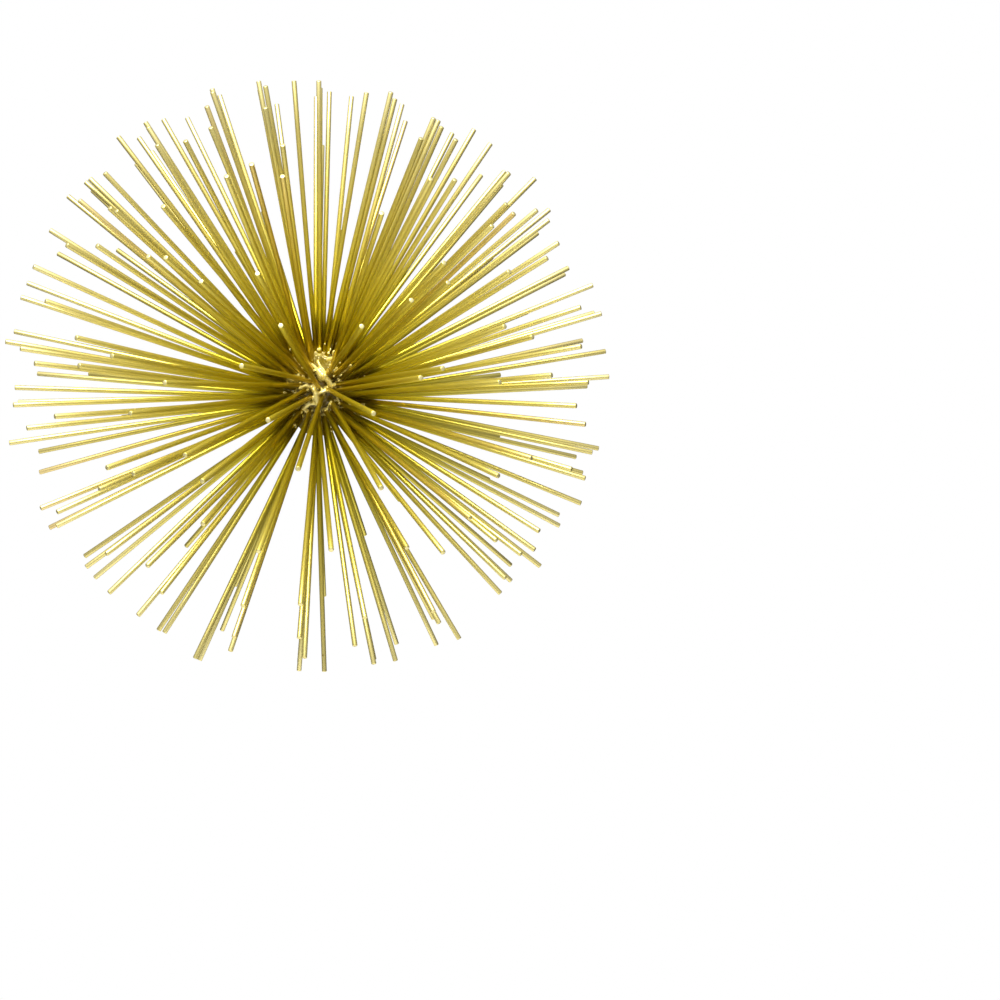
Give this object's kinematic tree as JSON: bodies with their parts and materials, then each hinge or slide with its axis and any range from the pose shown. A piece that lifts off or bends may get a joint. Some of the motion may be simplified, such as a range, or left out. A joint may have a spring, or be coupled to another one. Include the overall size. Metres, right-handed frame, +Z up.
{
  "type": "starburst wall sculpture",
  "caption": "Starburst of straight gold metal rods brazed round a ball, held off the wall by a stem and a keyhole hanger plate.",
  "frame": {"origin": "middle of the hanger plate's flat back face, in the plane of the wall", "axes": "+Z up, the front faces -Y, and +Y goes into the wall"},
  "size_m": [0.392, 0.2596, 0.3909],
  "materials": {
    "gold_rod": "satin gold paint",
    "gold_braze": "glossy gold paint over braze",
    "hanger_steel": "satin gold paint on sheet steel"
  },
  "bodies": {
    "root": {"front_rod_01": "gold_rod", "front_rod_02": "gold_rod", "front_rod_03": "gold_rod", "front_rod_04": "gold_rod", "front_rod_05": "gold_rod", "front_rod_06": "gold_rod", "front_rod_07": "gold_rod", "front_rod_08": "gold_rod", "front_rod_09": "gold_rod", "front_rod_10": "gold_rod", "front_rod_11": "gold_rod", "front_rod_12": "gold_rod", "front_rod_13": "gold_rod", "front_rod_14": "gold_rod", "front_rod_15": "gold_rod", "hanger_plate": "hanger_steel", "hub_ball": "gold_braze", "rod_spray_ring10_1": "gold_rod", "rod_spray_ring10_2": "gold_rod", "rod_spray_ring10_3": "gold_rod", "rod_spray_ring10_4": "gold_rod", "rod_spray_ring3_1": "gold_rod", "rod_spray_ring3_2": "gold_rod", "rod_spray_ring3_3": "gold_rod", "rod_spray_ring3_4": "gold_rod", "rod_spray_ring4_1": "gold_rod", "rod_spray_ring4_2": "gold_rod", "rod_spray_ring4_3": "gold_rod", "rod_spray_ring4_4": "gold_rod", "rod_spray_ring5_1": "gold_rod", "rod_spray_ring5_2": "gold_rod", "rod_spray_ring5_3": "gold_rod", "rod_spray_ring5_4": "gold_rod", "rod_spray_ring5_5": "gold_rod", "rod_spray_ring5_6": "gold_rod", "rod_spray_ring6_1": "gold_rod", "rod_spray_ring6_2": "gold_rod", "rod_spray_ring6_3": "gold_rod", "rod_spray_ring6_4": "gold_rod", "rod_spray_ring6_5": "gold_rod", "rod_spray_ring7_1": "gold_rod", "rod_spray_ring7_2": "gold_rod", "rod_spray_ring7_3": "gold_rod", "rod_spray_ring7_4": "gold_rod", "rod_spray_ring7_5": "gold_rod", "rod_spray_ring7_6": "gold_rod", "rod_spray_ring8_1": "gold_rod", "rod_spray_ring8_2": "gold_rod", "rod_spray_ring8_3": "gold_rod", "rod_spray_ring8_4": "gold_rod", "rod_spray_ring8_5": "gold_rod", "rod_spray_ring9_1": "gold_rod", "rod_spray_ring9_2": "gold_rod", "rod_spray_ring9_3": "gold_rod", "rod_spray_ring9_4": "gold_rod", "rod_spray_ring9_5": "gold_rod", "stem": "hanger_steel", "stem_braze_at_ball": "gold_braze", "stem_braze_at_plate": "gold_braze"}
  },
  "joints": []
}
